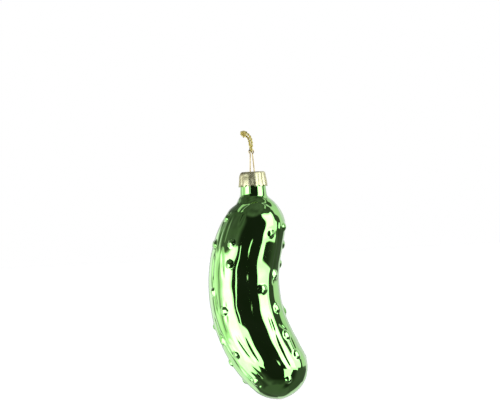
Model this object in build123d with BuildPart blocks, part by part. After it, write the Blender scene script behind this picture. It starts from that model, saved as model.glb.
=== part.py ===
from build123d import *
from math import cos, pi, radians, sin, sqrt, tan
import os

# A blown-glass pickle ornament that hangs on a short doubled cord. Millimetres, +Z up along the neck,
# the front of the pickle towards -Y. The origin is where a hook passes between the two strands of cord.

# Heights down the neck axis
EYE_DROP = 6.5             # hanging point to the middle of the wire eye
CAP_DROP = 8.5             # middle of the wire eye to the top of the cap
SHOULDER_DROP = 23.0       # top of the cap to the centre of the round shoulder

# Pickle: a bent tube with a round shoulder and a round tip
SHOULDER_RADIUS = 13.1
BELLY_RADIUS = 15.05
TIP_RADIUS = 13.6
BEND_RADIUS = 56.0
BEND_LEAN = 26.8           # degrees that the body leans away from the neck axis at the shoulder
BEND_TURN = 64.4           # degrees from the shoulder's centre to the tip's centre
GLASS_WALL = 0.8

# Neck of the pickle
NECK_BORE = 7.4
NECK_RIM_FLAT = 0.4        # width of the ground rim that the cap sits on
NECK_RIM_DEPTH = 1.0       # height of the rounded-off rim
NECK_DIAMETER = 10.0       # just below the rim
NECK_ROOT_DIAMETER = 10.8  # where it starts to flare
NECK_LENGTH = 7.7          # rim to the start of the flare
NECK_FLARE_RADIUS = 7.5    # where the flare runs out on the shoulder

# Warts blown into the skin: millimetres along the spine from the shoulder's centre, degrees round
# from the front. The back has the same scatter, turned end for end, without the warts at the sides.
WART_RADII = (2.1, 1.8, 2.3)
WART_HEIGHT = 0.75
WART_SIDE = 85             # degrees from the front past which a wart counts as at the side
WARTS = [
    (-5, 70), (0, 33), (1, -66), (3, 88), (9, -30), (11, -71), (14, 92), (17, -25),
    (20, 61), (27, 31), (27, -60), (34, -37), (38, 56), (39, -90), (41, 90), (44, -67),
    (50, -44), (52, -78), (53, 54), (60, -92), (62, -47), (64, 51), (70, 5),
]

# Stamped cap
CAP_SHEET = 0.3
CAP_HEIGHT = 6.3
CAP_RADIUS = 5.5           # below its rounded top edge
CAP_SKIRT_RADIUS = 6.1
CAP_CORNER = 0.9
FLUTES = 14
FLUTE_DEPTH = 0.22
FLUTE_FADE = 0.5           # what is left of the flutes at the corner, and of that on the rounded edge
SCALLOP_RADIUS = 1.05
SCALLOP_DEPTH = 0.8

# Spring-wire hanger
WIRE_DIAMETER = 0.5
EYE_RADIUS = 0.95          # centre line of the wire
EYE_PINCH = 0.44           # half the width of the eye's narrow throat
LEG_HOLE_SPREAD = 0.92     # half the distance between the cap's two holes
LEG_HOLE_CLEARANCE = 0.15
LEG_CLEARANCE = 0.3        # spread legs to the wall of the neck
LEG_DROP = 16.5            # top of the cap to the ends of the legs
LEG_BEND_DROP = 0.7        # underside of the cap to the corner where a leg spreads
LEG_SPLAY = 30             # degrees below level at which a leg spreads
LEG_BEND_RADIUS = 0.5
LEG_KNEE_RADIUS = 1.0

# Cord: from one tail through the knot, round the wire eye and back through the knot to the other tail
CORD_DIAMETER = 1.0
CORD_ROUTE = [
    (-3.4, 11.2, 0.9), (-3.3, 8.8, 1.4), (-2.9, 6.2, 1.8), (-2.6, 3.8, 1.9), (-1.8, 1.7, 1.6),
    (-0.5, 0.2, 0.5), (0.45, -0.45, -1.3), (0.58, -0.75, -3.2), (0.25, -1.0, -4.9),
    (0.0, -1.0, -6.55), (0.0, 1.0, -6.55),
    (-0.25, 1.0, -4.9), (-0.58, 0.75, -3.2), (-0.75, 0.65, -1.5), (-1.5, 1.3, 0.0),
    (-2.4, 3.1, 0.5), (-2.7, 5.6, 0.75), (-2.2, 8.2, 0.7), (-1.9, 10.6, 0.2),
]
CORD_BEND_SHARE = 0.45     # share of the shorter run that a bend takes up
KNOT_CENTRE = (-2.8, 6.0, 1.3)
KNOT_RADIUS = 1.5

# Levels that follow from the sizes above
eye_z = -EYE_DROP
cap_top = eye_z - CAP_DROP
cap_bottom = cap_top - CAP_HEIGHT
rim_z = cap_top - CAP_SHEET
neck_root_z = rim_z - NECK_LENGTH
shoulder_z = cap_top - SHOULDER_DROP
bend_length = radians(BEND_TURN) * BEND_RADIUS
past_the_end = 1.0         # how far a cutter reaches beyond the face that it opens


def spine_plane(along):
    """The section so far along the spine: local X to the front, Y to the right, Z back to the neck."""
    heading = radians(-BEND_LEAN) + along / BEND_RADIUS
    across = BEND_RADIUS * (cos(radians(BEND_LEAN)) - cos(heading))
    down = BEND_RADIUS * (sin(radians(BEND_LEAN)) + sin(heading))
    return Plane(
        origin=(across, 0, shoulder_z - down),
        x_dir=(0, -1, 0),
        z_dir=(-sin(heading), 0, cos(heading)),
    )


def girth(along):
    """Outer radius of the pickle so far along the spine: an even taper with an elliptical swell on it."""
    share = along / bend_length
    swell = BELLY_RADIUS - (SHOULDER_RADIUS + TIP_RADIUS) / 2
    return SHOULDER_RADIUS * (1 - share) + TIP_RADIUS * share + swell * sqrt(4 * share * (1 - share))


def skin_place(along, around, depth):
    """A place that deep under the skin with its Z axis straight out, also on the two round ends."""
    on_spine = min(max(along, 0), bend_length)
    tilt = (on_spine - along) / girth(on_spine)
    turn = radians(around)
    section = spine_plane(on_spine)
    outward = Vector(cos(tilt) * cos(turn), cos(tilt) * sin(turn), sin(tilt))
    centre = section.from_local_coords(outward * (girth(on_spine) - depth))
    return Plane(origin=centre, z_dir=centre - section.origin).location


def pickle_form(wall, rim_radius, neck_radius, root_radius, top_z):
    """The neck and shoulder, the bent body and the round tip as one solid, set in by the wall."""
    stations = 7
    shoulder = SHOULDER_RADIUS - wall
    flare_radius = NECK_FLARE_RADIUS - wall
    flare_z = shoulder_z + sqrt(shoulder**2 - flare_radius**2)
    neck_z = rim_z - NECK_RIM_DEPTH
    with BuildPart() as form:
        with BuildSketch(Plane.XZ):
            with BuildLine():
                Polyline((0, shoulder_z - shoulder), (0, top_z), (rim_radius, top_z), (neck_radius, neck_z))
                side = Line((neck_radius, neck_z), (root_radius, neck_root_z))
                TangentArc(side @ 1, (flare_radius, flare_z), tangent=side % 1)
                ThreePointArc((flare_radius, flare_z), (shoulder, shoulder_z), (0, shoulder_z - shoulder))
            make_face()
        revolve(axis=Axis.Z)
        split(bisect_by=spine_plane(0), keep=Keep.TOP)
        for station in range(stations):
            along = bend_length * (1 - cos(pi * station / (stations - 1))) / 2
            with BuildSketch(spine_plane(along)):
                Circle(girth(along) - wall)
        loft()
        with Locations(spine_plane(bend_length).location):
            half_sphere = (Align.CENTER, Align.CENTER, Align.MAX)
            Sphere(TIP_RADIUS - wall, arc_size1=-90, arc_size2=0, align=half_sphere)
    return form.part


# Blown-glass pickle: one shell, open only at the neck
bore_radius = NECK_BORE / 2
neck_radii = (bore_radius + NECK_RIM_FLAT, NECK_DIAMETER / 2, NECK_ROOT_DIAMETER / 2)
front_warts = [(along, around) for along, around in WARTS if abs(around) < WART_SIDE]
all_warts = WARTS + [(bend_length - along, 180 - around) for along, around in front_warts]

with BuildPart() as glass_body:
    add(pickle_form(0, *neck_radii, rim_z))
    for kind, wart_radius in enumerate(WART_RADII):
        places = all_warts[kind :: len(WART_RADII)]
        with Locations(*[skin_place(along, around, wart_radius - WART_HEIGHT) for along, around in places]):
            Sphere(wart_radius)
    inside = pickle_form(GLASS_WALL, bore_radius, bore_radius, bore_radius, rim_z + past_the_end)
    add(inside, mode=Mode.SUBTRACT)
glass_body.part.label = "glass_body"


def fluted_cup(inset, bottom_z):
    """A cup with a rounded top edge and flutes that fade out towards the top, set in by the sheet."""
    corner_z = cap_top - CAP_CORNER
    slope = (CAP_SKIRT_RADIUS - CAP_RADIUS) / (corner_z - cap_bottom)
    flat_radius = CAP_RADIUS - CAP_CORNER
    half_round = (CAP_CORNER - inset) * sqrt(0.5)
    corner_flute = FLUTE_DEPTH * FLUTE_FADE
    edge_flute = corner_flute * FLUTE_FADE
    sections = [
        (bottom_z, CAP_RADIUS + slope * (corner_z - bottom_z) - inset, FLUTE_DEPTH),
        (corner_z, CAP_RADIUS - inset, corner_flute),
        (corner_z + half_round, flat_radius + half_round, edge_flute),
        (cap_top - inset, flat_radius, edge_flute),
    ]
    step = 360 / FLUTES
    with BuildPart() as form:
        for level, radius, depth in sections:
            with BuildSketch(Plane.XY.offset(level)):
                with BuildLine():
                    for flute in range(FLUTES):
                        ThreePointArc(
                            Vector(radius - depth, 0).rotate(Axis.Z, step * flute),
                            Vector(radius, 0).rotate(Axis.Z, step * (flute + 0.5)),
                            Vector(radius - depth, 0).rotate(Axis.Z, step * (flute + 1)),
                        )
                make_face()
        loft(ruled=True)
    return form.part


# Stamped metal cap: fluted skirt with a scalloped edge, and two holes for the wire
leg_hole = WIRE_DIAMETER / 2 + LEG_HOLE_CLEARANCE
scallop_z = cap_bottom - SCALLOP_RADIUS + SCALLOP_DEPTH

with BuildPart() as cap:
    add(fluted_cup(0, cap_bottom))
    add(fluted_cup(CAP_SHEET, cap_bottom - past_the_end), mode=Mode.SUBTRACT)
    with BuildSketch(Plane.XY.offset(cap_top)):
        with Locations((-LEG_HOLE_SPREAD, 0), (LEG_HOLE_SPREAD, 0)):
            Circle(leg_hole)
    extrude(amount=CAP_SHEET + past_the_end, both=True, mode=Mode.SUBTRACT)
    with PolarLocations(0, FLUTES):
        with Locations(Location((0, 0, scallop_z), (0, 90, 0))):
            Cylinder(
                SCALLOP_RADIUS,
                CAP_SKIRT_RADIUS + past_the_end,
                align=(Align.CENTER, Align.CENTER, Align.MIN),
                mode=Mode.SUBTRACT,
            )
cap.part.label = "cap"

# Spring wire: an eye above the cap, two legs through its holes, sprung out towards the neck's wall.
# The eye is a square on its corner whose rounded corners leave only a hair of straight wire
eye_corner = EYE_RADIUS * sqrt(2)
eye_bend = EYE_RADIUS * 0.99
bend_z = rim_z - LEG_BEND_DROP
leg_spread = bore_radius - WIRE_DIAMETER / 2 - LEG_CLEARANCE
knee_z = bend_z - (leg_spread - LEG_HOLE_SPREAD) * tan(radians(LEG_SPLAY))
leg_points = [
    (leg_spread, cap_top - LEG_DROP),
    (leg_spread, knee_z),
    (LEG_HOLE_SPREAD, bend_z),
    (EYE_PINCH, eye_z - eye_corner + EYE_PINCH),
    (eye_corner, eye_z),
]
wire_points = leg_points + [(0, eye_z + eye_corner)] + [(-x, z) for x, z in reversed(leg_points)]
leg_radii = [LEG_KNEE_RADIUS, LEG_BEND_RADIUS, LEG_BEND_RADIUS, eye_bend]
wire_radii = leg_radii + [eye_bend] + leg_radii[::-1]

with BuildPart() as hanger_wire:
    with BuildLine(Plane.XZ):
        wire_line = FilletPolyline(*wire_points, radius=wire_radii)
    with BuildSketch(Plane(origin=wire_line @ 0, z_dir=wire_line % 0)):
        Circle(WIRE_DIAMETER / 2)
    sweep()
hanger_wire.part.label = "hanger_wire"

# Cord: each bend is as large as its two runs allow
route = [Vector(*point) for point in CORD_ROUTE]
cord_radii = []
for before, corner, after in zip(route, route[1:], route[2:]):
    turn = (corner - before).get_angle(after - corner)
    shorter_run = min((corner - before).length, (after - corner).length)
    cord_radii.append(CORD_BEND_SHARE * shorter_run / tan(radians(turn) / 2))

with BuildPart() as hanging_cord:
    with BuildLine():
        cord_line = FilletPolyline(*route, radius=cord_radii)
    with BuildSketch(Plane(origin=cord_line @ 0, z_dir=cord_line % 0)):
        Circle(CORD_DIAMETER / 2)
    sweep()
    cord_volume = hanging_cord.part.volume
    with Locations(KNOT_CENTRE):
        Sphere(KNOT_RADIUS)
hanging_cord.part.label = "hanging_cord"

cord_length = cord_line.length
print("cord bend radii", [round(radius, 2) for radius in cord_radii])
print("cord length", round(cord_length, 2), "mm, volume", round(cord_volume, 3), "mm3, section times length",
      round(pi * CORD_DIAMETER**2 / 4 * cord_length, 3), "mm3")

os.makedirs("parts", exist_ok=True)
export_step(glass_body.part, "parts/glass_body.step")
export_step(cap.part, "parts/cap.step")
export_step(hanger_wire.part, "parts/hanger_wire.step")
export_step(hanging_cord.part, "parts/hanging_cord.step")
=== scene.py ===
import bpy
import math
from mathutils import Euler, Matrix, Vector, kdtree, noise


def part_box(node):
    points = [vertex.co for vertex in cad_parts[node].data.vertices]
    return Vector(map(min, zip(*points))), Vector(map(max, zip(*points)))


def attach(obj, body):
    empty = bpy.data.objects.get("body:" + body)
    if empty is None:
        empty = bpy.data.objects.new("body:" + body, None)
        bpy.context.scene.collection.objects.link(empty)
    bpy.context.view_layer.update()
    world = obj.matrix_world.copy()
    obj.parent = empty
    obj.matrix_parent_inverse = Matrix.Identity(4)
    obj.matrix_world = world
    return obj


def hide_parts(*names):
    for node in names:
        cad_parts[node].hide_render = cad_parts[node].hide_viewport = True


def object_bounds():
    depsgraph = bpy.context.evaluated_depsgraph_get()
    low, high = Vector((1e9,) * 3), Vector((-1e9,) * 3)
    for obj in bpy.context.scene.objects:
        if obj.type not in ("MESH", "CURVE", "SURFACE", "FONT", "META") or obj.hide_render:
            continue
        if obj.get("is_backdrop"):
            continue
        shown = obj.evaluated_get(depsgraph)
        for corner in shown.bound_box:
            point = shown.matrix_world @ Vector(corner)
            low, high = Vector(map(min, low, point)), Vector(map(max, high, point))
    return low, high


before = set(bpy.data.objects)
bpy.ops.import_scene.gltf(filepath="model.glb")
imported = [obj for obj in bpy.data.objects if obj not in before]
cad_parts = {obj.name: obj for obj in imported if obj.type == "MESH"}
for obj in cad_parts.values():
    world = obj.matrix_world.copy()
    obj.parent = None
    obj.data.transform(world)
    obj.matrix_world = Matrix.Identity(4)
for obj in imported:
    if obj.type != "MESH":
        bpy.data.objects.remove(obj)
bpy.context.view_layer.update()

# The glass pickle: one thin shell with an open neck, blown into a mould that leaves round warts,
# shallow swellings and creases. It is silvered inside and dipped in clear green lacquer.
MM = 0.001
SHOULDER_BELOW_RIM = 22.7 * MM   # rim of the neck to the centre of the round shoulder
SHOULDER_RADIUS = 13.1 * MM
BELLY_RADIUS = 15.05 * MM
TIP_RADIUS = 13.6 * MM
BEND_RADIUS = 56.0 * MM
BEND_LEAN = math.radians(26.8)   # lean of the body away from the neck at the shoulder
BEND_TURN = math.radians(64.4)   # from the shoulder's centre to the tip's centre
GLASS_WALL = 0.8 * MM
NECK_PROFILE = [                 # radius and depth below the rim in mm, from the flare up into the bore
    (6.5, 11.0), (5.9, 10.2), (5.6, 9.4), (5.45, 7.7), (5.25, 4.4), (5.02, 1.5),
    (4.8, 0.5), (4.3, 0.0), (3.95, 0.05), (3.72, 0.5), (3.7, 7.5), (5.3, 11.8),
]
COLUMNS = 32                     # faces of the cage round the shell
CAGE_SMOOTHING = 3               # levels of subdivision
TIP_TURNS = (34, 48, 62, 76)     # rings of the round tip, degrees from its pole
STATIONS = 17                    # rings along the spine
SHOULDER_TURNS = (76, 62, 48, 35)          # rings of the round shoulder, degrees from the neck
SHOULDER_SLOPE = (0.0, 0.35, 0.75, 0.2)    # mm that they lose, so that the shoulder is nearly a cone
SHOULDER_SHIFT = (0.0, 0.25, 0.5, 0.4)     # mm that they shift to the right
INNER_TIP_TURNS = (34, 62)       # the inner wall is out of sight, so it has fewer rings
INNER_STATIONS = 4
INNER_SHOULDER_TURNS = (62, 35)
STREAK_HEIGHT = 0.2 * MM         # long shallow swellings
STREAK_WIDTH = 4.5 * MM
STREAK_LENGTH = 26.0 * MM
LUMP_SIZE = 6.0 * MM             # short shallow swellings
LUMP_HEIGHT = 0.12 * MM
LUMP_SEED = Vector((5.8, 3.7, 9.1))
RELIEF_START = 12.0 * MM         # above the shoulder's centre, where streaks and lumps begin
RELIEF_FADE = 5.0 * MM           # further down they are at their full height
ROOT_LUMPS = 2.5                 # the lumps are so many times higher just below the neck
ROOT_REACH = 2.5 * MM
FOLD_ABOVE = 11.0 * MM           # the fold at the neck's root, above the shoulder's centre
FOLD_RIGHT = 1.0 * MM            # its highest point
FOLD_ARCH = 0.07 / MM            # from there it falls by so much times the square of the way
FOLD_REACH = 8.0 * MM            # it fades out so far to either side
FOLD_WIDTH = 1.5 * MM            # from its middle to its edge
FOLD_DEPTH = 0.34 * MM
CREASES = [                      # from and to, as for the warts below; depth and half width in mm
    ((42, -29), (56, -20), 0.42, 1.1), ((43, -13), (58, -13), 0.28, 1.1),
    ((30, -33), (39, -38), 0.22, 1.1), ((30, 33), (42, 30), 0.12, 1.1), ((39, 34), (49, 33), 0.36, 1.1),
    ((45, 33), (69, 20), 0.36, 1.3), ((40, 53), (78, 36), 0.2, 2.4), ((46, 50), (53, 63), 0.2, 1.1),
    ((53, 61), (63, 54), 0.2, 1.1), ((10, -47), (23, -33), 0.24, 1.1), ((25, -55), (35, -51), 0.2, 1.1),
    ((40, -60), (51, -53), 0.24, 1.1), ((44, -44), (53, -36), 0.2, 1.1),
    ((1, -62), (15, -55), 0.26, 1.1), ((-1, -52), (11, -45), 0.24, 1.1), ((-8, 44), (7, 58), 0.22, 1.1),
    ((2, 55), (26, 55), 0.26, 1.1), ((55, -31), (63, -28), 0.2, 1.1), ((54, -52), (64, -47), 0.24, 1.1),
    ((-5, -30), (3, -28), 0.16, 1.1), ((14, -62), (24, -60), 0.2, 1.1),
    ((34, -66), (44, -62), 0.2, 1.1),
]
WART_RADII = (2.1, 1.6, 1.8)     # mm, taken in turn
WART_HEIGHT = 0.85 * MM
WART_ROUND = 0.75                # 0.5 is a half ellipse, 1 a parabola
WART_SIDE = 85                   # a wart this many degrees from the front isn't repeated on the back
WARTS = [                        # millimetres along the spine, degrees round from the front
    (-5, 70), (0, 33), (1, -66), (3, 88), (9, -30), (11, -71), (14, 92), (17, -25),
    (20, 61), (27, 31), (27, -60), (34, -37), (38, 56), (39, -90), (41, 90), (44, -67),
    (50, -44), (52, -78), (53, 54), (60, -92), (62, -47), (64, 51), (70, 5),
]
rim_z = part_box("glass_body")[1].z
shoulder_centre = Vector((0, 0, rim_z - SHOULDER_BELOW_RIM))
bend_length = BEND_TURN * BEND_RADIUS


def deselect():
    if bpy.context.object and bpy.context.object.mode == "EDIT":
        bpy.ops.object.mode_set(mode="OBJECT")
    bpy.ops.object.select_all(action="DESELECT")


def apply_modifier(piece, kind, **settings):
    """Adds a modifier with its settings and makes it part of the mesh."""
    modifier = piece.modifiers.new(kind.title(), kind)
    for name, value in settings.items():
        setattr(modifier, name, value)
    bpy.context.view_layer.objects.active = piece
    bpy.ops.object.modifier_apply(modifier=modifier.name)


def spine(along):
    """Centre and heading of the section so far along the bent spine."""
    heading = along / BEND_RADIUS - BEND_LEAN
    across = BEND_RADIUS * (math.cos(BEND_LEAN) - math.cos(heading))
    down = BEND_RADIUS * (math.sin(BEND_LEAN) + math.sin(heading))
    return shoulder_centre + Vector((across, 0, -down)), heading


def girth(along):
    """Radius of the shell so far along the bent spine."""
    share = along / bend_length
    swell = BELLY_RADIUS - (SHOULDER_RADIUS + TIP_RADIUS) / 2
    fullness = math.sqrt(max(4 * share * (1 - share), 0))
    return SHOULDER_RADIUS * (1 - share) + TIP_RADIUS * share + swell * fullness


def on_ring(centre, heading, radius, around):
    """A point of a ring that leans with the spine, counted round from the front to the right."""
    right = Vector((math.cos(heading), 0, math.sin(heading)))
    return centre + radius * (math.cos(around) * Vector((0, -1, 0)) + math.sin(around) * right)


def upward(heading):
    """The direction along the spine towards the neck."""
    return Vector((-math.sin(heading), 0, math.cos(heading)))


def skin_point(along, around):
    """A point on the skin and the direction straight out there, also on the two round ends."""
    on_spine = min(max(along, 0), bend_length)
    centre, heading = spine(on_spine)
    tilt = (on_spine - along) / girth(on_spine)
    outward = on_ring(Vector(), heading, math.cos(tilt), around) + upward(heading) * math.sin(tilt)
    return centre + outward * girth(on_spine), outward


def shell_rings(wall, tip_turns, stations, shoulder_turns):
    """Rings of the shell from its round tip up to the flare of the neck, set in by the wall."""
    rings = []
    centre, heading = spine(bend_length)
    radius = TIP_RADIUS - wall
    for polar in tip_turns:
        turn = math.radians(polar)
        place = centre - upward(heading) * radius * math.cos(turn)
        rings.append((place, heading, radius * math.sin(turn)))
    for station in range(stations):
        along = bend_length * (1 - station / (stations - 1))
        rings.append((*spine(along), girth(along) - wall))
    radius = SHOULDER_RADIUS - wall
    for polar, slope, shift in zip(shoulder_turns, SHOULDER_SLOPE, SHOULDER_SHIFT):
        turn = math.radians(polar)
        heading = -BEND_LEAN * (polar - shoulder_turns[-1]) / (90 - shoulder_turns[-1])
        place = shoulder_centre + upward(heading) * radius * math.cos(turn) + Vector((shift * MM, 0, 0))
        rings.append((place, heading, radius * math.sin(turn) - slope * MM))
    return rings


outer_rings = shell_rings(0, TIP_TURNS, STATIONS, SHOULDER_TURNS)
neck_rings = [(Vector((0, 0, rim_z - depth * MM)), 0, radius * MM) for radius, depth in NECK_PROFILE]
inner_rings = shell_rings(GLASS_WALL, INNER_TIP_TURNS, INNER_STATIONS, INNER_SHOULDER_TURNS)[::-1]
rings = outer_rings + neck_rings + inner_rings

# A tube with one level for each ring, and a grid that closes the tip outside and inside.
deselect()
bpy.ops.mesh.primitive_circle_add(vertices=COLUMNS, radius=TIP_RADIUS)
glass = bpy.context.object
glass.name = "glass_pickle"
bpy.ops.object.mode_set(mode="EDIT")
for ring in rings[1:]:
    bpy.ops.mesh.extrude_region_move(TRANSFORM_OT_translate={"value": (0, 0, MM)})
bpy.ops.mesh.fill_grid(span=COLUMNS // 4)
bpy.ops.mesh.select_all(action="DESELECT")
bpy.ops.mesh.select_non_manifold()
bpy.ops.mesh.fill_grid(span=COLUMNS // 4)
bpy.ops.object.mode_set(mode="OBJECT")

# The tube's levels go to their rings, and the two grids onto the round tip.
cage_swell = 3 / (2 + math.cos(2 * math.pi / COLUMNS))   # subdivision draws a ring in by as much
tube_count = COLUMNS * len(rings)
end_count = (len(glass.data.vertices) - tube_count) // 2
for vertex in glass.data.vertices[:tube_count]:
    level, column = divmod(vertex.index, COLUMNS)
    centre, heading, radius = rings[level]
    vertex.co = on_ring(centre, heading, radius * cage_swell, 2 * math.pi * column / COLUMNS)
for part, (end_ring, wall) in enumerate([(rings[-1], GLASS_WALL), (rings[0], 0)]):
    first = tube_count + part * end_count
    tip_centre, heading = spine(bend_length)
    for vertex in glass.data.vertices[first:first + end_count]:
        flat = Vector((vertex.co.x, vertex.co.y)) / TIP_RADIUS
        place = on_ring(end_ring[0], heading, end_ring[2] * flat.length, math.atan2(-flat.x, flat.y))
        vertex.co = tip_centre + (place - tip_centre).normalized() * (TIP_RADIUS - wall)
bpy.ops.object.mode_set(mode="EDIT")
bpy.ops.mesh.select_all(action="SELECT")
bpy.ops.mesh.normals_make_consistent(inside=False)
bpy.ops.object.mode_set(mode="OBJECT")
apply_modifier(glass, "SUBSURF", levels=CAGE_SMOOTHING, render_levels=CAGE_SMOOTHING)

# Swellings stand out from the skin, and the creases and the fold at the neck's root are pressed in.
bend_centre = shoulder_centre + BEND_RADIUS * Vector((math.cos(BEND_LEAN), 0, -math.sin(BEND_LEAN)))
back_creases = []                # the back repeats the front, turned end for end
for (start, start_turn), (end, end_turn), depth, width in CREASES:
    back_start = (bend_length / MM - start, 180 - start_turn)
    back_end = (bend_length / MM - end, 180 - end_turn)
    back_creases.append((back_start, back_end, depth, width))
for vertex in glass.data.vertices:
    inward = bend_centre - vertex.co
    along = BEND_RADIUS * (math.atan2(inward.z, inward.x) + BEND_LEAN)
    on_spine = min(max(along, 0), bend_length)
    centre, heading = spine(on_spine)
    outward = (vertex.co - centre).normalized()
    right = Vector((math.cos(heading), 0, math.sin(heading)))
    around = math.atan2(outward.dot(right), -outward.y)
    below_neck = min(max((shoulder_centre.z + RELIEF_START - vertex.co.z) / RELIEF_FADE, 0), 1)
    off_tip = (1 - max(outward.dot(-upward(heading)), 0)) ** 2
    girdle = BELLY_RADIUS / STREAK_WIDTH
    place = Vector((girdle * math.cos(around), girdle * math.sin(around), along / STREAK_LENGTH))
    from_root = (shoulder_centre.z + RELIEF_START - RELIEF_FADE / 2 - vertex.co.z) / ROOT_REACH
    lump = LUMP_HEIGHT * (1 + (ROOT_LUMPS - 1) * math.exp(-from_root**2))
    relief = off_tip * STREAK_HEIGHT * noise.noise(place)
    relief += lump * noise.noise(vertex.co / LUMP_SIZE + LUMP_SEED)
    for (start, start_turn), (end, end_turn), depth, width in CREASES + back_creases:
        share = (along / MM - start) / (end - start)
        if 0 < share < 1:
            middle = math.radians(start_turn + (end_turn - start_turn) * share)
            turn = (around - middle + math.pi) % (2 * math.pi) - math.pi
            aside = turn * girth(on_spine) / (width * MM)
            if abs(aside) < 1:
                relief -= depth * MM * math.sin(math.pi * share) * (1 - aside**2) ** 2
    sideways = vertex.co.x - FOLD_RIGHT
    fold_z = shoulder_centre.z + FOLD_ABOVE - FOLD_ARCH * sideways**2
    aside = min(abs(vertex.co.z - fold_z) / FOLD_WIDTH, 1)
    fold = FOLD_DEPTH * (1 - aside**2) ** 2 * max(1 - (sideways / FOLD_REACH) ** 2, 0)
    vertex.co += outward * (below_neck * relief - fold)

# Each wart is a round dome that is raised from the skin near its middle.
skin = kdtree.KDTree(len(glass.data.vertices))
for vertex in glass.data.vertices:
    skin.insert(vertex.co, vertex.index)
skin.balance()
front_warts = [(along, around) for along, around in WARTS if abs(around) < WART_SIDE]
back_warts = [(bend_length / MM - along, 180 - around) for along, around in front_warts]
for number, (along, around) in enumerate(WARTS + back_warts):
    place, outward = skin_point(along * MM, math.radians(around))
    radius = WART_RADII[number % len(WART_RADII)] * MM
    for _, index, distance in skin.find_range(place, radius):
        height = WART_HEIGHT * (1 - (distance / radius) ** 2) ** WART_ROUND
        glass.data.vertices[index].co += outward * height
deselect()
glass.select_set(True)
bpy.ops.object.shade_smooth()


def linear(hex_colour):
    """A colour written as sRGB hex, as linear red, green, blue and alpha."""
    shares = [int(hex_colour[place:place + 2], 16) / 255 for place in (0, 2, 4)]
    return [c / 12.92 if c <= 0.04045 else ((c + 0.055) / 1.055) ** 2.4 for c in shares] + [1]


def add_node(tree, kind, inputs=None, **settings):
    """Adds a shader node with its settings; an input is a value or the socket that feeds it."""
    new = tree.nodes.new("ShaderNode" + kind)
    for name, value in settings.items():
        setattr(new, name, value)
    for socket, value in (inputs or {}).items():
        if isinstance(value, bpy.types.NodeSocket):
            tree.links.new(value, new.inputs[socket])
        else:
            new.inputs[socket].default_value = value
    return new


def new_material(name):
    material = bpy.data.materials.new(name)
    material.use_nodes = True
    return material, material.node_tree, material.node_tree.nodes["Principled BSDF"]


# Silvered glass under green lacquer: a coloured mirror with a clear hard gloss on top. The lacquer is
# a little thicker in some places, which deepens the green, and fine dust in it softens the mirror.
LACQUER_THICK = "84CC60"
LACQUER_THIN = "98D878"
MOTTLE_SIZE = 7.0 * MM           # patches of thicker and thinner lacquer
DUST_SIZE = 0.6 * MM             # drawn coarser than real dust, so that it shows
MIRROR_ROUGHNESS = (0.03, 0.07)
lacquer, tree, shader = new_material("green_lacquered_silvered_glass")
place = add_node(tree, "TexCoord").outputs["Object"]
mottle = add_node(tree, "TexNoise", {"Vector": place, "Scale": 1 / MOTTLE_SIZE, "Detail": 2.0})
green = add_node(tree, "ValToRGB", {"Fac": mottle.outputs["Fac"]})
green.color_ramp.elements[0].position = 0.3
green.color_ramp.elements[0].color = linear(LACQUER_THICK)
green.color_ramp.elements[1].position = 0.7
green.color_ramp.elements[1].color = linear(LACQUER_THIN)
dust = add_node(tree, "TexNoise", {"Vector": place, "Scale": 1 / DUST_SIZE, "Detail": 3.0})
gloss = add_node(tree, "MapRange", {"Value": dust.outputs["Fac"], "From Min": 0.35, "From Max": 0.75,
                                    "To Min": MIRROR_ROUGHNESS[0], "To Max": MIRROR_ROUGHNESS[1]})
tree.links.new(green.outputs["Color"], shader.inputs["Base Color"])
tree.links.new(gloss.outputs["Result"], shader.inputs["Roughness"])
shader.inputs["Metallic"].default_value = 1.0
shader.inputs["Coat Weight"].default_value = 1.0
shader.inputs["Coat Roughness"].default_value = 0.02
shader.inputs["Coat IOR"].default_value = 1.5
glass.data.materials.append(lacquer)
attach(glass, "glass")
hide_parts("glass_body")

# The cap: thin champagne-coloured aluminium, stamped to a fluted skirt with a scalloped edge and two
# holes in its top for the wire.
FLUTES = 14
FLUTE_COLUMNS = 8
FLUTE_DEPTH = 0.24 * MM
SCALLOP_DEPTH = 0.8 * MM
SCALLOP_STEEPNESS = 1.25         # above 1, the notches between the scallops end flat
CAP_SHEET = 0.25 * MM
CAP_PROFILE = [                  # radius and height above the skirt's edge in mm, share of the flutes
    (6.1, 0.0, 1.0), (6.02, 0.9, 1.0), (5.84, 2.6, 0.9), (5.62, 4.4, 0.7), (5.5, 5.3, 0.5),
    (5.38, 5.85, 0.4), (5.0, 6.2, 0.3), (4.55, 6.3, 0.2), (3.4, 6.3, 0.0), (1.7, 6.3, 0.0),
]
LEG_HOLE_SPREAD = 0.92 * MM
LEG_HOLE_RADIUS = 0.4 * MM
LEG_HOLE_SIDES = 24
FLUTE_TURN = math.radians(-15)   # the flutes about the axis
FLUTE_UNEVEN = 0.7               # share by which one flute is deeper or shallower than the next
FLUTE_TILT = 0.22 * MM           # by which one flute leans more than the next
FLUTE_UNEVEN_SEED = Vector((0.0, 0.3, 0.6))
FLUTE_TILT_SEED = Vector((0.0, 5.3, 0.6))
FLUTE_STEP = Vector((1.7, 0.0, 0.0))       # in the noise, from one flute to the next
CRUMPLE_SIZE = 3.0 * MM
CRUMPLE_DEPTH = 0.3 * MM
CORNER_DENT = 0.8 * MM           # the top edge is pressed down on one side
CORNER_DENT_START = 0.5          # from this share of the cap's height
CORNER_DENT_TURN = math.radians(-80)
RIM_REACH = (4.8, 5.35)          # mm from the axis: the glass rim, which holds the top up, and full dent
DENT_SIZE = 1.5 * MM             # small dents all over
DENT_DEPTH = 0.03 * MM
CAP_SMOOTHING = 2                # levels of subdivision
cap_low, cap_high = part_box("cap")
cap_height = cap_high.z - cap_low.z

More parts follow.
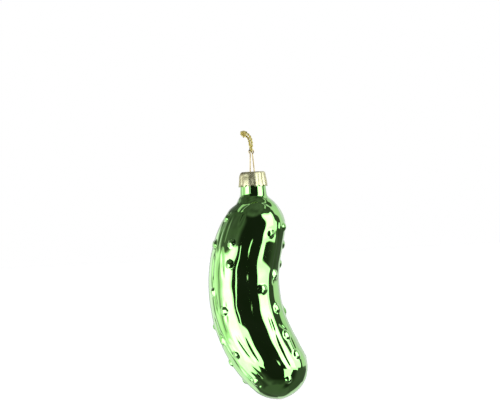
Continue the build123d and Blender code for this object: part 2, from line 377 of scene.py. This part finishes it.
deselect()
cap_columns = FLUTES * FLUTE_COLUMNS
bpy.ops.mesh.primitive_circle_add(vertices=cap_columns, radius=CAP_PROFILE[0][0] * MM)
cap = bpy.context.object
cap.name = "stamped_cap"
bpy.ops.object.mode_set(mode="EDIT")
for level in CAP_PROFILE[1:]:
    bpy.ops.mesh.extrude_region_move(TRANSFORM_OT_translate={"value": (0, 0, MM)})
bpy.ops.mesh.edge_face_add()
bpy.ops.mesh.poke()
bpy.ops.object.mode_set(mode="OBJECT")
for vertex in cap.data.vertices:
    level, column = divmod(vertex.index, cap_columns)
    if level >= len(CAP_PROFILE):
        vertex.co = (0, 0, cap_high.z)
        continue
    radius, height, flute_share = CAP_PROFILE[level]
    off_rim = min(max((radius - RIM_REACH[0]) / (RIM_REACH[1] - RIM_REACH[0]), 0), 1)
    flute = column // FLUTE_COLUMNS
    from_crest = (column / FLUTE_COLUMNS) % 1 * 2 - 1
    uneven = 1 + FLUTE_UNEVEN * noise.noise(FLUTE_UNEVEN_SEED + flute * FLUTE_STEP)
    lean = FLUTE_TILT * noise.noise(FLUTE_TILT_SEED + flute * FLUTE_STEP) * from_crest
    radius = radius * MM - flute_share * (FLUTE_DEPTH * uneven * from_crest**2 + lean)
    height = height * MM
    if level == 0:
        height = SCALLOP_DEPTH * min(SCALLOP_STEEPNESS * from_crest**2, 1)
    around = 2 * math.pi * (column + FLUTE_COLUMNS / 2) / cap_columns + FLUTE_TURN
    place = Vector((radius * math.sin(around), -radius * math.cos(around), cap_low.z + height))
    crumple = CRUMPLE_DEPTH * noise.noise(place / CRUMPLE_SIZE) * flute_share
    side = max(math.cos(around - CORNER_DENT_TURN), 0) ** 2
    upper = max(height / cap_height - CORNER_DENT_START, 0) / (1 - CORNER_DENT_START)
    press = CORNER_DENT * side * upper * off_rim
    vertex.co = place * (1 + crumple / radius) - Vector((0, 0, place.z * crumple / radius + press))
bpy.ops.object.mode_set(mode="EDIT")
bpy.ops.mesh.select_all(action="SELECT")
bpy.ops.mesh.normals_make_consistent(inside=False)
bpy.ops.object.mode_set(mode="OBJECT")
apply_modifier(cap, "SUBSURF", levels=CAP_SMOOTHING, render_levels=CAP_SMOOTHING)
dents = bpy.data.textures.new("stamped_dents", "VORONOI")
dents.noise_scale = DENT_SIZE
apply_modifier(cap, "DISPLACE", texture=dents, texture_coords="LOCAL", strength=DENT_DEPTH)
apply_modifier(cap, "SOLIDIFY", thickness=CAP_SHEET, offset=-1)
bpy.ops.mesh.primitive_cylinder_add(vertices=LEG_HOLE_SIDES, radius=LEG_HOLE_RADIUS,
                                    depth=4 * CAP_SHEET, location=(LEG_HOLE_SPREAD, 0, cap_high.z))
punch = bpy.context.object
apply_modifier(cap, "BOOLEAN", object=punch, operation="DIFFERENCE")
punch.location.x = -LEG_HOLE_SPREAD
bpy.context.view_layer.update()
apply_modifier(cap, "BOOLEAN", object=punch, operation="DIFFERENCE")
bpy.data.objects.remove(punch)
deselect()
cap.select_set(True)
bpy.context.view_layer.objects.active = cap
bpy.ops.object.shade_smooth_by_angle(angle=math.radians(40))

# Champagne-coated aluminium foil stock: a pale warm mirror, dulled by the stamping, that scatters a
# highlight from every small dent.
CHAMPAGNE_DARK = "BEB889"
CHAMPAGNE_LIGHT = "DAD5A8"
PATCH_SIZE = 1.5 * MM            # where the coating is more or less rubbed
CAP_ROUGHNESS = (0.34, 0.46)
ROLLED_GRAIN = 0.35 * MM         # drawn coarser than it is, so that it shows
ROLLED_DEPTH = 0.05 * MM
champagne, tree, shader = new_material("champagne_aluminium")
place = add_node(tree, "TexCoord").outputs["Object"]
patches = add_node(tree, "TexNoise", {"Vector": place, "Scale": 1 / PATCH_SIZE, "Detail": 3.0})
tint = add_node(tree, "ValToRGB", {"Fac": patches.outputs["Fac"]})
tint.color_ramp.elements[0].position = 0.35
tint.color_ramp.elements[0].color = linear(CHAMPAGNE_DARK)
tint.color_ramp.elements[1].position = 0.65
tint.color_ramp.elements[1].color = linear(CHAMPAGNE_LIGHT)
scuff = add_node(tree, "MapRange", {"Value": patches.outputs["Fac"], "From Min": 0.3, "From Max": 0.7,
                                    "To Min": CAP_ROUGHNESS[0], "To Max": CAP_ROUGHNESS[1]})
grain = add_node(tree, "TexNoise", {"Vector": place, "Scale": 1 / ROLLED_GRAIN, "Detail": 2.0})
relief = add_node(tree, "Bump", {"Height": grain.outputs["Fac"], "Strength": 0.05,
                                 "Distance": ROLLED_DEPTH})
tree.links.new(tint.outputs["Color"], shader.inputs["Base Color"])
tree.links.new(scuff.outputs["Result"], shader.inputs["Roughness"])
tree.links.new(relief.outputs["Normal"], shader.inputs["Normal"])
shader.inputs["Metallic"].default_value = 0.75
cap.data.materials.append(champagne)
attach(cap, "hanger")
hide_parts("cap")

# The hanger: one length of brassed spring wire, bent to an eye, with two legs through the cap's holes
# that spring against the inside of the neck. Its solid is shown as it is.
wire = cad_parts["hanger_wire"]
wire.data.materials.clear()

# Brass-plated drawn wire: a smooth warm metal with narrow highlights along it, browner and duller in
# patches where it has tarnished.
BRASS_TARNISHED = "A8915A"
BRASS_BRIGHT = "CDBA84"
TARNISH_SIZE = 1.2 * MM
WIRE_ROUGHNESS = (0.32, 0.2)     # where it is tarnished and where it is bright
brass, tree, shader = new_material("brassed_spring_wire")
place = add_node(tree, "TexCoord").outputs["Object"]
tarnish = add_node(tree, "TexNoise", {"Vector": place, "Scale": 1 / TARNISH_SIZE, "Detail": 3.0})
tint = add_node(tree, "ValToRGB", {"Fac": tarnish.outputs["Fac"]})
tint.color_ramp.elements[0].position = 0.35
tint.color_ramp.elements[0].color = linear(BRASS_TARNISHED)
tint.color_ramp.elements[1].position = 0.65
tint.color_ramp.elements[1].color = linear(BRASS_BRIGHT)
drawn = add_node(tree, "MapRange", {"Value": tarnish.outputs["Fac"], "From Min": 0.3, "From Max": 0.7,
                                    "To Min": WIRE_ROUGHNESS[0], "To Max": WIRE_ROUGHNESS[1]})
tree.links.new(tint.outputs["Color"], shader.inputs["Base Color"])
tree.links.new(drawn.outputs["Result"], shader.inputs["Roughness"])
shader.inputs["Metallic"].default_value = 1.0
wire.data.materials.append(brass)

# The cord: two plies of gold yarn, twisted together, doubled through the wire eye and tied to itself
# in an overhand knot with two short tails.
CORD_ROUTE = [                   # control points in mm, from the upper tail through the eye and back
    (-3.4, 11.2, 0.9), (-3.4, 8.8, 1.6), (-3.1, 6.2, 2.2), (-2.7, 3.8, 2.1), (-1.8, 1.7, 1.6),
    (-0.5, 0.2, 0.5), (0.3, -0.45, -1.3), (0.5, -0.75, -3.4), (0.25, -1.0, -4.9),
    (0.0, -1.0, -6.6), (0.0, 1.0, -6.6),
    (-0.25, 1.0, -4.9), (-0.5, 0.75, -3.4), (-0.6, 0.65, -1.5), (-1.4, 1.3, 0.0),
    (-2.4, 3.1, 0.5), (-2.7, 5.6, 0.75), (-2.2, 8.2, 0.7), (-1.9, 10.6, 0.2),
]
CORD_PITCH = 2.8 * MM            # one full turn of the two plies
CORD_PLIES = 2
PLY_YARNS = 3
PLY_RADIUS = 0.25 * MM           # of a ply's middle about the cord's middle
YARN_RADIUS = 0.13 * MM          # of a yarn's middle about the ply's middle
YARN_THICKNESS = 0.16 * MM       # half of a yarn's diameter
YARN_PITCH = 1.9 * MM
KNOT_CENTRE = Vector((-2.8, 6.0, 1.3)) * MM
KNOT_SIZE = 0.4 * MM
KNOT_DEPTH = 1.2                 # from front to back, against 1 for a plain trefoil
KNOT_STEPS = 96


def nurbs_points(name, route):
    """Points along the smooth line that has the route's points as its control points."""
    curve = bpy.data.curves.new(name, "CURVE")
    curve.dimensions = "3D"
    spline = curve.splines.new("NURBS")
    spline.points.add(len(route) - 1)
    for point, place in zip(spline.points, route):
        point.co = (*(Vector(place) * MM), 1)
    spline.order_u = 3
    spline.use_endpoint_u = True
    spline.resolution_u = 16
    holder = bpy.data.objects.new(name, curve)
    bpy.context.scene.collection.objects.link(holder)
    line = bpy.data.meshes.new_from_object(holder)
    points = [vertex.co.copy() for vertex in line.vertices]
    bpy.data.objects.remove(holder)
    return points


def twist(name, points):
    """Yarns twisted into plies, and plies into a cord, along the points, as one mesh."""
    curve = bpy.data.curves.new(name, "CURVE")
    curve.dimensions = "3D"
    curve.bevel_depth = YARN_THICKNESS
    curve.bevel_resolution = 1
    curve.use_fill_caps = True
    for strand in range(CORD_PLIES * PLY_YARNS):
        ply, yarn = divmod(strand, PLY_YARNS)
        spline = curve.splines.new("POLY")
        spline.points.add(len(points) - 1)
        walked = 0.0
        side = Vector((1, 0, 0))
        for number, place in enumerate(points):
            before = points[max(number - 1, 0)]
            after = points[min(number + 1, len(points) - 1)]
            ahead = (after - before).normalized()
            side = (side - side.dot(ahead) * ahead).normalized()
            up = ahead.cross(side)
            walked += (place - before).length
            turn = 2 * math.pi * (walked / CORD_PITCH + ply / CORD_PLIES)
            middle = place + PLY_RADIUS * (math.cos(turn) * side + math.sin(turn) * up)
            turn = 2 * math.pi * (walked / YARN_PITCH + yarn / PLY_YARNS)
            middle += YARN_RADIUS * (math.cos(turn) * side + math.sin(turn) * up)
            spline.points[number].co = (*middle, 1)
    piece = bpy.data.objects.new(name, curve)
    bpy.context.scene.collection.objects.link(piece)
    deselect()
    piece.select_set(True)
    bpy.context.view_layer.objects.active = piece
    bpy.ops.object.convert(target="MESH")
    bpy.ops.object.shade_smooth()
    return bpy.context.object


cord_points = nurbs_points("cord_line", CORD_ROUTE)
cord = twist("gold_cord", cord_points)

# An overhand knot with its ends joined is a trefoil, so the knot's strand follows one.
knot_points = []
for step in range(KNOT_STEPS + 1):
    turn = 2 * math.pi * step / KNOT_STEPS
    knot_points.append(KNOT_CENTRE + KNOT_SIZE * Vector((
        math.sin(turn) + 2 * math.sin(2 * turn),
        -KNOT_DEPTH * math.sin(3 * turn),
        math.cos(turn) - 2 * math.cos(2 * turn),
    )))
knot = twist("cord_knot", knot_points)

# Gold yarn: metallised film wound on a thread, with a bump of many small facets. Its colour follows the
# bump: darker gold in the hollows is painted shade, and pale gold on the crests is a painted glint.
GOLD_DARK = "C4AA34"
GOLD_LIGHT = "FFF3A0"
FACET_SIZE = 0.25 * MM           # of the wound film, drawn coarser than it is, so that it shows
FACET_DEPTH = 0.04 * MM
gold, tree, shader = new_material("gold_metallic_yarn")
place = add_node(tree, "TexCoord").outputs["Object"]
film = add_node(tree, "TexNoise", {"Vector": place, "Scale": 1 / FACET_SIZE, "Detail": 2.0})
# Painted shade and glint: the facet pattern that raises the bump also darkens its hollows and lightens
# its crests.
tint = add_node(tree, "ValToRGB", {"Fac": film.outputs["Fac"]})
tint.color_ramp.elements[0].position = 0.3
tint.color_ramp.elements[0].color = linear(GOLD_DARK)
tint.color_ramp.elements[1].position = 0.7
tint.color_ramp.elements[1].color = linear(GOLD_LIGHT)
windings = add_node(tree, "Bump", {"Height": film.outputs["Fac"], "Strength": 0.3,
                                   "Distance": FACET_DEPTH})
tree.links.new(tint.outputs["Color"], shader.inputs["Base Color"])
tree.links.new(windings.outputs["Normal"], shader.inputs["Normal"])
shader.inputs["Metallic"].default_value = 0.35
shader.inputs["Roughness"].default_value = 0.35
for piece in (cord, knot):
    piece.data.materials.append(gold)
    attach(piece, "cord")
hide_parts("hanging_cord")

# The studio: a pale paper floor below the hanging ornament, and soft panels of light all round it, with
# a dark panel behind the camera that the mirror shows as its dark middle band.
FLOOR_Z = -140 * MM
FLOOR_SIZE = 6000 * MM
FLOOR_GLOW = 0.66                # added for the camera alone, so that the floor is as pale as the wall
PAPER_WHITE = "F2F2F0"
STUDIO_LEVEL = (0.06, 0.17)      # darkest and lightest of the dim room between the panels
STUDIO_CLUTTER = 2.5             # how often the room changes from dark to light, per radian
SOFTBOX_TINT = "EAF2FF"          # the softboxes are cooler than the room
TINT_RANGE = (1.5, 2.5)          # strengths at which the tint begins and is full
WALL_WHITE = 1.0                 # what the camera sees past the floor
STUDIO_PANELS = [                # degrees from the camera to the right, degrees up, soft edge; strength
    ("floor", -200, 200, -90, -64, 6, 0.14),
    ("back left", -200, -150, -42, 14, 4, 0.65),
    ("back right", 140, 200, -48, 36, 4, 0.85),
    ("back gap", -200, -174, -15, 15, 4, 0.05),
    ("back gap", 174, 200, -15, 15, 4, 0.05),
    ("left wall", -150, -76, -38, 14, 3, 1.2),
    ("left window", -112, -104, -38, 14, 3, 1.7),
    ("left gap", -128, -122, -30, 14, 3, 0.3),
    ("left gap", -95, -90, -20, 14, 2, 0.5),
    ("upper left wall", -140, -100, 17, 28, 4, 0.4),
    ("right wall", 107, 136, -2, 46, 3, 1.0),
    ("right gap", 90, 107, -14, 46, 2, 0.08),
    ("dark right", 57, 140, -60, -9, 2, 0.1),
    ("darker right", 54, 70, -60, -9, 20, 0.03),
    ("dark middle", -30, 44, -40, 40, 14, 0.02),
    ("left softbox", -78, -37, -32, 14, 2, 2.9),
    ("left softbox foot", -40, -16, -32, -11, 2, 3.3),
    ("low left softbox", -104, -38, -40, -24, 3, 3.3),
    ("low left softbox foot", -106, -84, -50, -38, 3, 3.0),
    ("left softbox core", -66, -46, -28, 9, 9, 4.8),
    ("left light line", -26.5, -25.5, -11, 14, 1.2, 3.0),
    ("middle light", 13, 15, 2.5, 4.5, 1.5, 3.0),
    ("right softbox", 42, 90, -7, 45, 2, 2.9),
    ("right softbox foot", 34, 56, -38, -7, 2, 3.3),
    ("right softbox core", 50, 76, 4, 36, 9, 4.8),
    ("ceiling line", -200, -90, 58, 62, 1, 0.9),
    ("ceiling line", 90, 200, 54, 58, 1, 0.9),
]

deselect()
bpy.ops.mesh.primitive_plane_add(size=FLOOR_SIZE, location=(0, 0, FLOOR_Z))
floor = bpy.context.object
floor.name = "floor"
floor.visible_glossy = False

# White paper: matt and even, so that nothing but the soft shadow shows on it.
paper, tree, shader = new_material("white_paper")
shader.inputs["Base Color"].default_value = linear(PAPER_WHITE)
shader.inputs["Roughness"].default_value = 0.9
rays = add_node(tree, "LightPath")
glow = add_node(tree, "Emission", {"Strength": FLOOR_GLOW})
nothing = add_node(tree, "Emission", {"Strength": 0.0})
seen = add_node(tree, "MixShader", {0: rays.outputs["Is Camera Ray"], 1: nothing.outputs[0],
                                    2: glow.outputs[0]})
lit = add_node(tree, "AddShader", {0: shader.outputs[0], 1: seen.outputs[0]})
tree.links.new(lit.outputs[0], tree.nodes["Material Output"].inputs["Surface"])
floor.data.materials.append(paper)
floor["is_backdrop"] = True

# The panels are laid over the dim room one after another, each with soft edges.
world = bpy.data.worlds.new("studio")
bpy.context.scene.world = world
world.use_nodes = True
tree = world.node_tree
direction = add_node(tree, "TexCoord").outputs["Generated"]
way = add_node(tree, "SeparateXYZ", {0: direction})
front = add_node(tree, "Math", {0: way.outputs["Y"], 1: -1.0}, operation="MULTIPLY")
azimuth = add_node(tree, "Math", {0: way.outputs["X"], 1: front.outputs[0]}, operation="ARCTAN2")
azimuth = add_node(tree, "Math", {0: azimuth.outputs[0]}, operation="DEGREES").outputs[0]
elevation = add_node(tree, "Math", {0: way.outputs["Z"]}, operation="ARCSINE")
elevation = add_node(tree, "Math", {0: elevation.outputs[0]}, operation="DEGREES").outputs[0]
clutter = add_node(tree, "TexNoise", {"Vector": direction, "Scale": STUDIO_CLUTTER, "Detail": 1.0})
room = add_node(tree, "MapRange", {"Value": clutter.outputs["Fac"], "From Min": 0.3, "From Max": 0.7,
                                   "To Min": STUDIO_LEVEL[0], "To Max": STUDIO_LEVEL[1]})
level = room.outputs["Result"]
for name, left, right, low, high, soft_edge, strength in STUDIO_PANELS:
    inside = 1.0
    for angle, start, end in ((azimuth, left, right), (elevation, low, high)):
        for edge, beyond in ((start, start - soft_edge), (end, end + soft_edge)):
            fade = add_node(tree, "MapRange", {"Value": angle, "From Min": beyond, "From Max": edge},
                            interpolation_type="SMOOTHSTEP")
            inside = add_node(tree, "Math", {0: fade.outputs["Result"], 1: inside},
                              operation="MULTIPLY").outputs[0]
    panel = add_node(tree, "Mix", {"Factor": inside, "A": level, "B": strength}, label=name)
    level = panel.outputs["Result"]
rays = add_node(tree, "LightPath")
wall = add_node(tree, "Mix", {"Factor": rays.outputs["Is Camera Ray"], "A": level, "B": WALL_WHITE})
level = wall.outputs["Result"]
cool = add_node(tree, "MapRange", {"Value": level, "From Min": TINT_RANGE[0], "From Max": TINT_RANGE[1]})

# A mix of colours has them in its sockets 6 and 7 and gives them out at its third socket.
tint = add_node(tree, "Mix", {"Factor": cool.outputs["Result"], 6: linear("FFFFFF"),
                              7: linear(SOFTBOX_TINT)}, data_type="RGBA")
tree.links.new(tint.outputs[2], tree.nodes["Background"].inputs["Color"])
tree.links.new(level, tree.nodes["Background"].inputs["Strength"])

# The camera looks level at the front of the pickle. The ornament hangs 3 degrees askew in the frame.
PHOTO_WIDTH = 500                # pixels
PIXELS_PER_MM = 2.38
CAMERA_DISTANCE = 800 * MM
CAMERA_ROLL = math.radians(3)
FRAME_CENTRE = Vector((-1.57, 0, -26.82)) * MM
camera_data = bpy.data.cameras.new("camera")
camera = bpy.data.objects.new("camera", camera_data)
bpy.context.scene.collection.objects.link(camera)
camera.location = FRAME_CENTRE - Vector((0, CAMERA_DISTANCE, 0))
camera.rotation_euler = Euler((math.pi / 2, CAMERA_ROLL, 0))
camera_data.lens = camera_data.sensor_width * CAMERA_DISTANCE / (PHOTO_WIDTH / PIXELS_PER_MM * MM)
camera_data.clip_start = 0.01
bpy.context.scene.camera = camera
bpy.context.scene.view_settings.view_transform = "Standard"

low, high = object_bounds()
